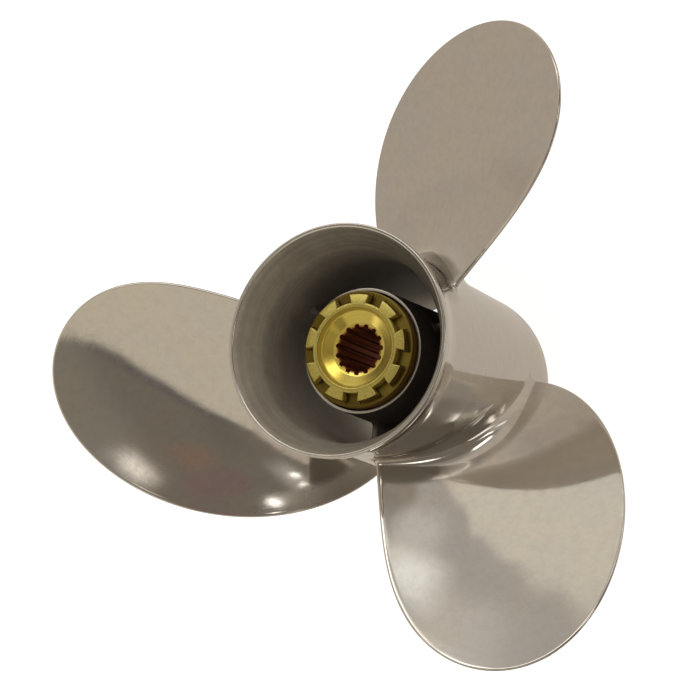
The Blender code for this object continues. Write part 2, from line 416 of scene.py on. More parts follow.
def blade_tree():
    """A blade on a helix, with rounded edges and a fillet that runs out level with the barrel.

    The grid's columns go round the blade, from the trailing edge over the aft face to the leading edge and
    back over the forward face. Its rows go from the foot, which is closed inside the barrel's wall, up the
    fillet and out to the tip.
    """
    sizes = [(label, NUMBER, size) for label, size in BLADE_SIZES.items()]
    tree, given = new_tree("blade_on_a_helix", sizes)
    root_r, root_thickness = given["Root radius"], given["Root thickness"]
    columns = 2 * (2 * EDGE_COLUMNS + FACE_COLUMNS)
    rows = 2 + FILLET_ROWS + SPAN_ROWS
    size = {"Size X": 1.0, "Size Y": 1.0, "Vertices X": columns + 1, "Vertices Y": rows + 1}
    grid = node(tree, "GeometryNodeMeshGrid", size).outputs["Mesh"]
    place = split(tree, node(tree, "GeometryNodeInputPosition").outputs[0])
    loop = place[0] + 0.5
    row = (place[1] + 0.5) * rows

    # The column's place: 1 on the aft side and -1 on the forward side, and from edge to edge
    side = (0.5 - loop).sign()
    across_face = 1.0 - (loop * 2.0 - 1.0).abs()
    to_leading = (across_face - 0.5).sign()
    inward = 1.0 - (across_face * 2.0 - 1.0).abs()
    edge_share = EDGE_COLUMNS / (EDGE_COLUMNS + FACE_COLUMNS / 2)
    turn = (inward / edge_share).share() * (pi / 2)
    on_face = ((inward - edge_share) / (1.0 - edge_share)).share()

    # The row's place: the angle round the fillet, then the height over the barrel and the share of the span
    climb = (((row - 2.0) / FILLET_ROWS).share() ** FILLET_ROW_POWER) * (pi / 2)
    outward = ((row - (2.0 + FILLET_ROWS)) / SPAN_ROWS).share()
    fillet = between(given["End fillet"], given["Face fillet"], on_face.step(0.0, 0.9))
    height = fillet * (1.0 - climb.cos())
    flare = fillet * (1.0 - climb.sin())
    span = given["Diameter"] * 0.5 - root_r
    share = between((height / span).asin(), pi / 2, outward).sin()
    width = polynomial(BLADE_WIDTH, share)
    half_squared = (1.0 - share * share).at_least(0.0) * width * width * 0.25
    half = half_squared.sqrt()
    middle = polynomial(BLADE_MIDDLE, share)

    # From the edge, the columns first go round it and then spread over the face
    edge = given["Edge thickness"] * 0.5
    edge_part = (edge / half.at_least(1e-5)).at_most(0.15)
    on_edge = 1.0 - edge_part * (1.0 - turn.cos())
    spread = (1.0 - edge_part) * (1.0 - on_face)
    is_face = (inward - edge_share).apply("GREATER_THAN", 0.0)
    chord_share = between(on_edge, spread, is_face) * to_leading
    along = chord_share * half

    # How far in from the outline a point lies, which rounds the edge
    width_slope = polynomial(slope_of(BLADE_WIDTH), share)
    half_slope = share * width * width * -0.5 + (1.0 - share * share) * width * width_slope * 0.5
    middle_slope = polynomial(slope_of(BLADE_MIDDLE), share)
    steepness = (half_slope + along * middle_slope * 2.0) / span
    gradient = (along * along * 4.0 + steepness * steepness).sqrt().at_least(1e-6)
    depth = ((half_squared - along * along).at_least(0.0) / gradient / edge).share()
    sideways = 1.0 - depth
    past_seam = (turn * 1000.0).share()
    thickness = (1.0 - sideways * sideways).at_least(0.0).sqrt() * past_seam
    belly = between(root_thickness, given["Tip thickness"], share**THINNING_POWER)
    belly = (belly - edge * 2.0) * (1.0 - chord_share * chord_share) * (1.0 - side) * 0.5
    across = (side * (edge + flare) * thickness - belly) * row.share()
    chord = middle + along + flare * sideways * to_leading

    # From the chord on to the helix, and near the root on to the barrel
    nominal = root_r + share * span
    helix = (given["Pitch"] / (nominal * tau)).apply("ARCTANGENT")
    level = given["Root height"] + given["Rake slope"] * (nominal - root_r)
    level = level - chord * helix.sin() + across * helix.cos()
    sweep = chord * helix.cos() + across * helix.sin()
    barrel = between(BARREL_FORWARD_R, BARREL_AFT_R, (level / FLARE_START_Z).share())
    fade = 1.0 - (share * span / FOLLOWS_BARREL).share()
    radius = nominal + (barrel - root_r + CLEAR_OF_BARREL) * fade * fade
    radius = radius - (1.0 - (row - 1.0).share()) * FOOT_SINK
    angle = given["First angle"] + sweep / nominal
    spot = vector(tree, radius * angle.cos(), radius * angle.sin(), level)
    chart = {"Geometry": grid, "Name": "blade_chart", "Value": vector(tree, chord_share, share, side)}
    marked = node(tree, "GeometryNodeStoreNamedAttribute", chart, data_type="FLOAT_VECTOR", domain="POINT")
    bent = node(tree, "GeometryNodeSetPosition", {"Geometry": marked.outputs[0], "Position": spot})
    return end_tree(tree, bent.outputs[0], given["Finish"])


# Shared effects for the finishes


def new_effect(name, control, default, *results):
    """A shader node group with a place, one control and its named results, which are all numbers."""
    inputs = [("Place", PLACE, None), (control, NUMBER, default)]
    group, given = new_group(name, "ShaderNodeTree", inputs, [(label, NUMBER) for label in results])
    return group, given["Place"], given[control]


def turning_marks_group():
    """Fine rings round the shaft, as a lathe tool leaves them, uneven along their length."""
    group, place, rings = new_effect("turning_marks", "Rings per metre", 2500.0, "Height", "Broad")
    x, y, z = split(group, place)
    radius = (x * x + y * y).sqrt()
    fine = vector(group, radius * rings, z * rings, x * 12.0)
    broad = vector(group, radius * rings * 0.12, z * rings * 0.12, y * 25.0)
    height = noise(group, fine, 1.0, 3.0, 0.6)
    return end_group(group, {"Height": height, "Broad": noise(group, broad, 1.0, 2.0, 0.5)})


def polishing_marks_group():
    """Hair lines of a polishing wheel, in three directions, with a soft cloudiness under them."""
    group, place, length = new_effect("polishing_marks", "Length", 60.0, "Lines", "Clouds", "Mottle")
    lines = None
    for turn in (0.3, 1.2, 2.4):
        turning = {"Vector": place, "Angle": turn, "Axis": (0.3, 0.2, 1.0)}
        x, y, z = split(group, node(group, "ShaderNodeVectorRotate", turning).outputs[0])
        stretched = vector(group, x * length, y * length * 26.0, z * length * 8.0)
        hair = noise(group, stretched, 1.0, 2.0, 0.55).step(0.42, 0.75)
        lines = hair if lines is None else lines + hair
    clouds = noise(group, place, 34.0, 3.0, 0.6)
    mottle = noise(group, place, 240.0, 4.0, 0.65)
    return end_group(group, {"Lines": lines / 3.0, "Clouds": clouds, "Mottle": mottle})


def edge_wear_group():
    """Where an edge stands out, and where a corner holds dirt."""
    group, place, amount = new_effect("edge_wear", "Amount", 1.0, "Edge", "Hollow")
    point = Quantity(group, node(group, "ShaderNodeNewGeometry").outputs["Pointiness"])
    uneven = noise(group, place, 260.0, 3.0, 0.6).step(0.3, 0.7)
    edge = (point.step(0.51, 0.56) * (uneven * 0.6 + 0.4) * amount).share()
    hollow = point.fall(0.44, 0.495) * amount
    return end_group(group, {"Edge": edge, "Hollow": hollow.share()})


def grime_group():
    """Thin stains that gather in patches, for the insides of the hub."""
    group, place, scale = new_effect("grime", "Patch size", 40.0, "Stain", "Specks")
    stain_and_painted_shade = noise(group, place, scale, 5.0, 0.65, 0.4).step(0.4, 0.75)
    specks = noise(group, place, scale * 26.0, 1.0, 0.4).step(0.62, 0.72)
    return end_group(group, {"Stain": stain_and_painted_shade, "Specks": specks})


class Finish:
    """A material in the making: its tree, its shader and the place on the piece."""

    def __init__(self, name):
        self.material = bpy.data.materials.new(name)
        self.material.use_nodes = True
        self.tree = self.material.node_tree
        self.shader = self.tree.nodes["Principled BSDF"]
        self.place = self.tree.nodes.new("ShaderNodeTexCoord").outputs["Object"]

    def position(self):
        """The place's x, y and z, and its distance from the shaft."""
        x, y, z = split(self.tree, self.place)
        return x, y, z, (x * x + y * y).sqrt()

    def effect(self, group, **inputs):
        """Places a shared effect and gives its outputs by name."""
        made = node(self.tree, "ShaderNodeGroup", {"Place": self.place}, node_tree=group)
        for label, value in inputs.items():
            feed(self.tree, made.inputs[label.replace("_", " ")], value)
        return {socket.name: Quantity(self.tree, socket) for socket in made.outputs}

    def mix(self, amount, first, second):
        return blend(self.tree, amount, first, second)

    def noise(self, *settings):
        return noise(self.tree, self.place, *settings)

    def bumps(self, *layers):
        """Bump nodes one after another, each of (height, strength, distance)."""
        normal = None
        for height, strength, distance in layers:
            inputs = {"Height": height, "Strength": strength, "Distance": distance}
            if normal is not None:
                inputs["Normal"] = normal
            normal = node(self.tree, "ShaderNodeBump", inputs).outputs[0]
        feed(self.tree, self.shader.inputs["Normal"], normal)

    def give(self, **inputs):
        for label, value in inputs.items():
            feed(self.tree, self.shader.inputs[label.replace("_", " ")], value)
        return self.material


# Colours of the steel, polished outside and satin inside the barrel, and of the painted shade and painted
# light laid on it
STEEL_WARM = (0.645, 0.595, 0.53)
STEEL_COOL = (0.61, 0.585, 0.55)
STEEL_DULL = (0.56, 0.53, 0.49)
STEEL_GREY = (0.36, 0.33, 0.29)
STEEL_SHADE = (0.20, 0.18, 0.15)
STEEL_EDGE = (0.78, 0.74, 0.69)
SATIN_DARK = (0.44, 0.405, 0.345)
SATIN_PALE = (0.62, 0.58, 0.50)
SATIN_STAIN = (0.33, 0.29, 0.245)
BORE_PAINTED_DIM = (0.62, 0.555, 0.48)
BORE_PAINTED_BRIGHT = (0.98, 0.90, 0.79)

# Colours of the inner tube and ribs, and of the tube's machined rim
CAST_DARK = (0.085, 0.068, 0.062)
CAST_BROWN = (0.13, 0.105, 0.09)
CAST_PALE = (0.34, 0.31, 0.27)
CAST_GREY = (0.25, 0.225, 0.20)
RIM_DARK = (0.40, 0.365, 0.31)
RIM_PALE = (0.52, 0.48, 0.415)

# Colours of the brass, of its stains, of the painted light and shade laid on it, and of the grease
BRASS_DEEP = (0.56, 0.44, 0.085)
BRASS_PALE = (0.68, 0.56, 0.16)
BRASS_PAINTED_LIGHT = (0.84, 0.65, 0.12)
BRASS_WALL = (0.56, 0.42, 0.09)
BRASS_PAINTED_SHADE = (0.26, 0.14, 0.030)
SANDED_DEEP = (0.44, 0.36, 0.075)
SANDED_PALE = (0.60, 0.51, 0.165)
OLIVE_PAINTED_LIGHT = (0.20, 0.145, 0.028)
OLIVE_STAIN = (0.098, 0.064, 0.011)
OLIVE_DARK = (0.07, 0.038, 0.008)
HOLLOW_BROWN = (0.10, 0.05, 0.012)
SPECK_BROWN = (0.30, 0.20, 0.06)
GREASE_THIN = (0.36, 0.125, 0.045)
GREASE_THICK = (0.24, 0.085, 0.035)
GREASE_WORN = (0.52, 0.20, 0.075)

RUBBER_BLACK = (0.045, 0.026, 0.018)
RUBBER_DUSTY = (0.075, 0.042, 0.026)
BLACK = (0.0, 0.0, 0.0)
WHITE = (1.0, 1.0, 1.0)

# A painted dark reflection and a dull spot on the barrel's outside
PAINTED_SHADE_X, PAINTED_SHADE_Y, PAINTED_SHADE_Z = 0.047, -0.022, 0.128
SPOT_X, SPOT_Y, SPOT_Z = -0.0115, -0.0507, 0.0925


def polished_tint(finish, polish, mottle):
    """The colour of polished steel: cloudy and a little mottled."""
    tint = finish.mix(polish["Clouds"].step(0.3, 0.7), STEEL_COOL, STEEL_WARM)
    return finish.mix(polish["Mottle"].step(0.35, 0.75) * mottle, tint, STEEL_DULL)


def blade_finish(marks, wear):
    """Polished stainless steel with the arcs of the polishing wheel over the blade."""
    finish = Finish("polished_blade_steel")
    mix = finish.mix
    tree = finish.tree
    polish = finish.effect(marks, Length=60.0)
    worn = finish.effect(wear, Amount=0.6)
    chart = node(tree, "ShaderNodeAttribute", attribute_name="blade_chart").outputs["Vector"]
    chord, span, side = split(tree, chart)
    from_middle = (chord * chord + ((span - 0.45) * 1.7) ** 2.0).sqrt()
    arcs = noise(tree, vector(tree, from_middle * 34.0, chord * 0.7, span * 0.7), 1.0, 3.0, 0.6)

    # The root is a little duller at the trailing edge, and darker there as painted shade; the aft face of
    # the first blade holds a painted dark reflection near its root
    cloudy = (polish["Clouds"] - 0.5) * 0.3
    near_barrel = (span + cloudy * 0.25).fall(0.01, 0.13)
    in_root = near_barrel * (chord + cloudy).fall(-0.95, -0.45) * side.share()
    tint = mix(in_root * 0.2, polished_tint(finish, polish, 0.7), STEEL_GREY)
    x, y, z = split(tree, finish.place)
    # Painted shade: a dark reflection laid on the aft root of the first blade only
    stain_and_painted_shade = (span + cloudy * 0.1).fall(0.045, 0.075) * chord.fall(-0.1, 0.25)
    stain_and_painted_shade = stain_and_painted_shade * chord.step(-0.98, -0.86) * side.share() * x.step(0.035, 0.045)
    tint = mix(stain_and_painted_shade * 0.7, tint, STEEL_SHADE)
    bright = mix(worn["Edge"], tint, STEEL_EDGE)

    uneven = polish["Lines"] * 0.04 + (arcs - 0.5) * 0.05 + (polish["Mottle"] - 0.5) * 0.08
    leading_root = span.fall(0.26, 0.42) * chord.step(0.74, 0.84) * side.share()
    roughness = 0.07 + uneven + in_root * 0.08 + leading_root * 0.22
    finish.bumps(
        (finish.noise(16.0, 1.0, 0.4), 0.35, 0.0006),
        (finish.noise(34.0, 2.0, 0.45), 0.3, 0.0003),
        (arcs, 0.02, 0.00025),
        (polish["Lines"], 0.03, 0.00006),
    )
    return finish.give(Base_Color=bright, Roughness=roughness, Metallic=1.0)


def barrel_finish(marks, turning, wear, grime):
    """The barrel: polished outside and turned to a satin inside, with painted light deep in the bore and
    painted shade on the side away from the light.
    """
    finish = Finish("barrel_steel")
    mix = finish.mix
    x, y, z, radius = finish.position()
    polish = finish.effect(marks, Length=55.0)
    rings = finish.effect(turning, Rings_per_metre=1500.0)
    wide_rings = finish.effect(turning, Rings_per_metre=520.0)
    worn = finish.effect(wear, Amount=0.5)
    dirt = finish.effect(grime, Patch_size=45.0)

    # Inside is what lies within the middle of the wall, and the ring's flat top is nearly as dull
    wall_middle = 0.049 + (z - THROAT_Z).at_least(0.0) * 0.382
    inside = (radius - wall_middle).fall(-0.0002, 0.0002) * z.fall(LENGTH - 0.0007, LENGTH - 0.0003)
    from_edge = radius - RING_R
    flat_top = z.step(LENGTH - 0.00015, LENGTH - 0.00005) * from_edge.fall(-0.0008, -0.0005)
    flat_top = flat_top * from_edge.step(-0.0015, -0.0013)
    inside = (inside + flat_top * 0.8).share()
    outside = 1.0 - inside

    outer = mix(worn["Edge"], polished_tint(finish, polish, 0.5), STEEL_EDGE)
    # Painted shade: a dark reflection laid on the barrel beside the first blade's root
    from_painted_shade = (x - PAINTED_SHADE_X) ** 2.0 + (y - PAINTED_SHADE_Y) ** 2.0 + ((z - PAINTED_SHADE_Z) * 0.8) ** 2.0
    outer = mix(from_painted_shade.sqrt().fall(0.010, 0.021) * 0.6, outer, STEEL_SHADE)

    # Deep in the bore the colour is lightened as painted light, most on the side that the light reaches, and
    # the whole inside is darkened across from it as painted shade
    uneven = wide_rings["Height"].step(0.35, 0.65) * 0.6 + polish["Clouds"].step(0.35, 0.65) * 0.4
    satin = mix(uneven, SATIN_DARK, SATIN_PALE)
    satin = mix(polish["Mottle"].step(0.35, 0.65) * 0.3, satin, STEEL_GREY)
    satin = mix(dirt["Stain"] * 0.4, satin, SATIN_STAIN)
    painted_lit_side = (y * 0.766 - x * 0.643) / radius
    painted_deep_light = mix(painted_lit_side.step(0.74, 0.95), BORE_PAINTED_DIM, BORE_PAINTED_BRIGHT)
    inner = mix(z.fall(THROAT_Z - 0.050, THROAT_Z - 0.002) * 0.75, satin, painted_deep_light)
    inner = mix(0.62 + painted_lit_side * 0.38, BLACK, inner)

    from_spot = (x - SPOT_X) ** 2.0 + (y - SPOT_Y) ** 2.0 + (z - SPOT_Z) ** 2.0
    outer_rough = 0.075 + polish["Lines"] * 0.05 + (polish["Mottle"] - 0.5) * 0.1
    outer_rough = outer_rough + from_spot.sqrt().fall(0.005, 0.012) * 0.3
    inner_rough = 0.50 + rings["Height"] * 0.10 + dirt["Stain"] * 0.08
    finish.bumps(
        (finish.noise(22.0, 1.0, 0.4) * outside, 0.25, 0.0006),
        (finish.noise(45.0, 2.0, 0.45) * outside, 0.3, 0.00025),
        (rings["Height"] * inside, 0.35, 0.00008),
        (wide_rings["Height"] * inside, 0.35, 0.0003),
        (polish["Lines"] * outside, 0.06, 0.00006),
    )
    return finish.give(
        Base_Color=mix(inside, outer, inner),
        Roughness=between(outer_rough, inner_rough, inside),
        Metallic=1.0 - inside * 0.7,
    )


def tube_finish(turning, grime):
    """The inner tube and ribs: dark, lighter on the ribs, with a bright machined rim."""
    finish = Finish("dark_cast_steel")
    mix = finish.mix
    x, y, z, radius = finish.position()
    rings = finish.effect(turning, Rings_per_metre=2200.0)
    dirt = finish.effect(grime, Patch_size=60.0)
    rim = z.step(TUBE_AFT_Z - 0.0012, TUBE_AFT_Z - 0.0008) * (radius - TUBE_R).fall(0.0001, 0.0003)
    dark = mix(dirt["Stain"], CAST_DARK, CAST_BROWN)
    lighter = mix(dirt["Stain"], CAST_PALE, CAST_GREY)
    dark = mix(radius.step(TUBE_FORWARD_R - 0.001, TUBE_FORWARD_R + 0.003), dark, lighter)
    bright = mix(rings["Broad"], RIM_DARK, RIM_PALE)
    finish.bumps(
        (finish.noise(900.0, 3.0, 0.6) * (1.0 - rim), 0.5, 0.00025),
        (rings["Height"] * rim, 0.3, 0.00005),
    )
    return finish.give(
        Base_Color=mix(rim, dark, bright),
        Roughness=0.55 + dirt["Stain"] * 0.2 - rim * 0.33,
        Metallic=0.35 + rim * 0.65,
    )


def brass_finish(turning, wear, grime):
    """Machined brass: bright in the dish, with a painted highlight on its left and on its wall, sandy on the
    teeth, olive stains in the notches that are lighter on one side as painted reflection, and painted shade
    on the teeth's outer walls.
    """
    finish = Finish("machined_brass")
    mix = finish.mix
    tree = finish.tree
    x, y, z, radius = finish.position()
    rings = finish.effect(turning, Rings_per_metre=5200.0)
    worn = finish.effect(wear, Amount=0.8)
    dirt = finish.effect(grime, Patch_size=130.0)
    sandy = finish.noise(1500.0, 2.0, 0.7)

    # Where the surface lies: on the teeth, down on the ledge, or on a wall
    on_teeth = z.step(FACE_Z - 0.0003, FACE_Z - 0.0001)
    off_teeth = 1.0 - on_teeth
    ledge = z.fall(FACE_Z - TOOTH_HEIGHT + 0.0002, FACE_Z - 0.001) * radius.step(DISH_RIM_R + 0.001, NOTCH_R)
    depth = FACE_Z - z
    dish_wall = (radius - DISH_RIM_R).fall(-0.0001, 0.0001) * (depth - DISH_WALL_DEPTH).fall(0.0, 0.0004)
    facing_aft = split(tree, node(tree, "ShaderNodeNewGeometry").outputs["Normal"])[2].abs()
    on_wall = facing_aft.fall(0.35, 0.7) * radius.step(DISH_RIM_R + 0.0015, NOTCH_R - 0.0004)
    past_tooth = radius.step(TOOTH_R - 0.0004, TOOTH_R - 0.0001)

    gold = mix(rings["Broad"], BRASS_DEEP, BRASS_PALE)
    # Painted highlight: the dish is lightened towards its left side and on its steep wall
    painted_highlight_side = (y * 0.9 - x * 0.4).step(0.003, 0.013) * off_teeth
    gold = mix((dish_wall * 0.7).at_least(painted_highlight_side), gold, BRASS_PAINTED_LIGHT)
    sanded = mix(sandy.step(0.3, 0.7), SANDED_DEEP, SANDED_PALE)
    # Painted reflection: the notches and ledge are lighter on one side, with the edge made ragged by the
    # stains
    painted_lit_side = (x * 0.37 - y * 0.93 + (dirt["Stain"] - 0.5) * 0.006).step(-0.002, 0.022)
    olive = mix(dirt["Stain"], OLIVE_STAIN, OLIVE_DARK)
    olive = mix(painted_lit_side * 0.8, olive, OLIVE_PAINTED_LIGHT)
    # The walls past the teeth's outer edge take a dark red-brown painted shade
    olive = mix(on_wall, olive, mix(past_tooth, BRASS_WALL, BRASS_PAINTED_SHADE))
    colour = mix(on_teeth, gold, sanded)
    colour = mix((ledge * 0.95).at_least(on_wall), colour, olive)
    colour = mix(worn["Hollow"] * 0.2, colour, HOLLOW_BROWN)
    colour = mix(dirt["Specks"] * on_teeth * 0.6, colour, SPECK_BROWN)
    roughness = 0.16 + on_teeth * 0.16 + ledge * 0.12 + (rings["Height"] - 0.5) * 0.06
    finish.bumps((rings["Height"], 0.25, 0.00006), (sandy * on_teeth, 0.25, 0.00005))
    return finish.give(
        Base_Color=colour,
        Roughness=roughness + on_wall * 0.2 + dish_wall * off_teeth * 0.2,
        Metallic=1.0 - on_wall * 0.7 - dish_wall * off_teeth * 0.55,
    )


def bore_finish(turning, grime):
    """The sleeve: bright brass on the dish's floor, and a red-brown film of grease down the splines."""
    finish = Finish("greased_spline_brass")
    mix = finish.mix
    tree = finish.tree
    x, y, z, radius = finish.position()
    rings = finish.effect(turning, Rings_per_metre=5200.0)
    dirt = finish.effect(grime, Patch_size=150.0)
    floor = z.step(FACE_Z - 0.00562, FACE_Z - 0.00546)
    floor = floor * radius.step(SPLINE_TOP_R + 0.0005, SPLINE_ROOT_R - 0.0005)
    clean = floor.at_least(radius.step(SPLINE_ROOT_R + 0.0012, SPLINE_ROOT_R + 0.002))
    greased = 1.0 - clean
    gold = mix(rings["Broad"], BRASS_DEEP, BRASS_PALE)
    # Painted highlight: the dish's floor is lightened towards its left side
    gold = mix((y * 0.9 - x * 0.4).step(0.003, 0.013) * 0.8, gold, BRASS_PAINTED_LIGHT)
    film = mix(dirt["Stain"], GREASE_THIN, GREASE_THICK)
    film = mix(radius.fall(SPLINE_TOP_R + 0.0001, SPLINE_TOP_R + 0.0006) * 0.6, film, GREASE_WORN)
    lengthwise = noise(tree, vector(tree, x * 2600.0, y * 2600.0, z * 60.0), 1.0, 2.0, 0.6)
    finish.bumps((rings["Height"] * clean, 0.25, 0.00006), (lengthwise * greased, 0.3, 0.0001))
    return finish.give(
        Base_Color=mix(clean, film, gold),
        Roughness=0.30 - clean * 0.13 + dirt["Stain"] * 0.1 * greased,
        Metallic=0.75 + clean * 0.25,
    )


def rubber_finish(grime):
    """Moulded rubber, dusty black."""
    finish = Finish("moulded_rubber")
    dirt = finish.effect(grime, Patch_size=90.0)
    colour = finish.mix(dirt["Stain"], RUBBER_BLACK, RUBBER_DUSTY)
    finish.bumps((finish.noise(1400.0, 3.0, 0.6), 0.35, 0.00012))
    return finish.give(Base_Color=colour, Roughness=0.62 + dirt["Stain"] * 0.2)


# Pieces


def bore_radius(z):
    return between(BORE_FORWARD_R, BORE_R, z / BORE_END_Z)


def tube_radius(z):
    return between(TUBE_FORWARD_R, TUBE_R, (z - TUBE_FORWARD_Z) / (TUBE_AFT_Z - TUBE_FORWARD_Z))


def barrel_profile():
    """The barrel's wall: straight, then flared to the ring, whose lip is a short straight band."""
    forward = BARREL_FORWARD_R
    points = [(forward - 0.0008, 0.0), (forward - 0.0002, 0.0003), (forward, 0.0010)]
    for share in shares(12)[1:-1]:
        points.append((between(forward, BARREL_AFT_R, share), FLARE_START_Z * share))
    flare_top = LENGTH - RING_BAND
    for share in shares(16):
        radius = between(BARREL_AFT_R, FLARE_END_R, share**1.6)
        points.append((radius, between(FLARE_START_Z, flare_top, share)))
    points += [(RING_R - 0.0001, flare_top + 0.00015), (RING_R, flare_top + 0.0004)]
    for share in shares(3):
        angle = pi / 2 * share
        inward, down = RING_ROUNDING * (1 - cos(angle)), RING_ROUNDING * (1 - sin(angle))
        points.append((RING_R - inward, LENGTH - down))
    mouth_r, mouth_z = RING_R - RING_LIP, LENGTH - 0.0002
    points += [(RING_R - RING_FLAT, LENGTH), (mouth_r, mouth_z)]
    for share in shares(10)[1:]:
        points.append((between(mouth_r, THROAT_R, share**0.8), between(mouth_z, THROAT_Z, share)))
    for share in shares(6)[1:]:
        radius = between(THROAT_R, BORE_R, share * (2 - share))
        points.append((radius, between(THROAT_Z, BORE_END_Z, share)))
    for share in shares(12)[1:-1]:
        z = BORE_END_Z * (1 - share)
        points.append((bore_radius(z), z))
    return points + [(BORE_FORWARD_R, 0.0004), (BORE_FORWARD_R + 0.0004, 0.0)]


def tube_profile():
    inside = TUBE_R - TUBE_WALL
    shoulder_z = TUBE_FORWARD_Z + SHOULDER
    points = [(TUBE_R, TUBE_AFT_Z), (inside, TUBE_AFT_Z), (inside, shoulder_z), (SHOULDER_R, shoulder_z)]
    points += [(SHOULDER_R, TUBE_FORWARD_Z), (TUBE_FORWARD_R, TUBE_FORWARD_Z)]
    return rounded(points, 0.0004)


def bush_profile():
    """The bush has a shallow channel round each end, where it bulges against the tube."""
    low = TUBE_FORWARD_Z + SHOULDER + GAP
    high = COLLAR_FORWARD_Z - GAP
    inner = SLEEVE_R + GAP
    outer = TUBE_R - TUBE_WALL - GAP
    middle = (inner + outer) / 2
    end = [(outer, 0.0), (middle + 0.0018, 0.0), (middle, 0.0012), (middle - 0.0018, 0.0), (inner, 0.0)]
    points = [(radius, high - sunk) for radius, sunk in end]
    points += [(radius, low + sunk) for radius, sunk in reversed(end)]
    return rounded(points, 0.0008)


def rib(finish):
    """A rib of the casting: flat, with a round aft edge, and spreading where it meets the walls."""
    loops = []
    length = BORE_R - TUBE_R + RIB_INTO_TUBE + RIB_INTO_BARREL
    for share in shares(20):
        to_wall = min(length * share - RIB_INTO_TUBE, length * (1 - share) - RIB_INTO_BARREL)
        spread = max(RIB_FILLET - max(to_wall, 0.0), 0.0)
        half = RIB_THICKNESS / 2 + RIB_FILLET - sqrt(RIB_FILLET**2 - spread**2)
        loop = []
        ends = ((RIB_AFT_Z - RIB_THICKNESS / 2 + spread, 1), (RIB_FORWARD_Z + RIB_THICKNESS / 2, -1))
        for end_z, sign in ends:
            for turn in shares(8):
                angle = pi * turn
                across = half * cos(angle) * sign
                z = end_z + sign * RIB_THICKNESS / 2 * sin(angle)
                near, far = tube_radius(z) - RIB_INTO_TUBE, bore_radius(z) + RIB_INTO_BARREL
                loop.append((between(near, far, share), across, z))
        loops.append(loop + loop[:1])
    shape = lofted(loops, False)
    bmesh.ops.remove_doubles(shape, verts=shape.verts, dist=MERGE)
    bmesh.ops.holes_fill(shape, edges=[edge for edge in shape.edges if edge.is_boundary])
    return add_piece("ribs", shape, finish)


def notch_outline():
    """One tooth gap of the collar, from mid tooth to mid tooth, as (x, y, way out)."""
    half_turn = pi / TEETH
    half = NOTCH_WIDTH / 2
    outer, inner = asin(half / TOOTH_R), asin(half / NOTCH_R)
    points = []
    for share in shares(10):
        angle = between(half_turn, outer, share)
        way_out = (cos(angle), -sin(angle))
        if share == 1:
            way_out = (way_out[0] + 0.1, way_out[1] + 1.0)
        points.append((TOOTH_R * cos(angle), -TOOTH_R * sin(angle), way_out))
    floor_x = NOTCH_R * cos(inner)
    edge_x = TOOTH_R * cos(outer)
    for share in shares(5)[1:-1]:
        points.append((between(edge_x, floor_x, share), -half, (0.0, 1.0)))
    points.append((floor_x, -half, (1.0, 1.0)))
    for share in shares(8)[1:]:
        angle = between(-inner, 0.0, share)
        points.append((NOTCH_R * cos(angle), NOTCH_R * sin(angle), (1.0, 0.0)))
    mirrored = [(x, -y, (out_x, -out_y)) for x, y, (out_x, out_y) in points[-2::-1]]
    return points + mirrored


def dish_height(radius):
    """The dish's floor, which falls evenly towards the bore."""
    share = (radius - DISH_FLOOR_R) / (DISH_WALL_R - DISH_FLOOR_R)
    return FACE_Z - between(DISH_DEPTH, DISH_WALL_DEPTH, share)


# The collar's face inside the notches, as (radius, depth): a fine groove, then the rounded rim of the dish
# and its steep wall
FACE_GROOVE = (0.02085, 0.0), (0.02070, 0.00016), (0.02045, 0.00016), (0.02030, 0.0)
DISH_RIM = (DISH_RIM_R + 0.00025, 0.0), (DISH_RIM_R + 0.00007, 0.00007), (DISH_RIM_R, 0.00025)
WALL_TOP = (0.01955, 0.0007), (0.01948, 0.0009), (0.01940, 0.0010), (0.01930, 0.0012), (0.01915, 0.0017)
WALL_FOOT = (0.01902, 0.0022), (0.01890, 0.0025), (0.01872, 0.00274), (0.01845, 0.00292)
FACE_PROFILE = (*FACE_GROOVE, *DISH_RIM, *WALL_TOP, *WALL_FOOT)


def collar_ring(radius, z):
    """A ninth of a ring, with as many points as the notch's outline and near to them."""
    side, corner = (8.9, 8.0) if radius > TOOTH_R else (13.0, 10.8)
    turns = [between(-180 / TEETH, -side, share) for share in shares(10)]
    turns += [between(-side, -corner, share) for share in shares(5)[1:]]
    turns += [between(-corner, 0.0, share) for share in shares(8)[1:]]
    turns += [-turn for turn in turns[-2::-1]]
    return circle(radius, [radians(turn) for turn in turns], z)


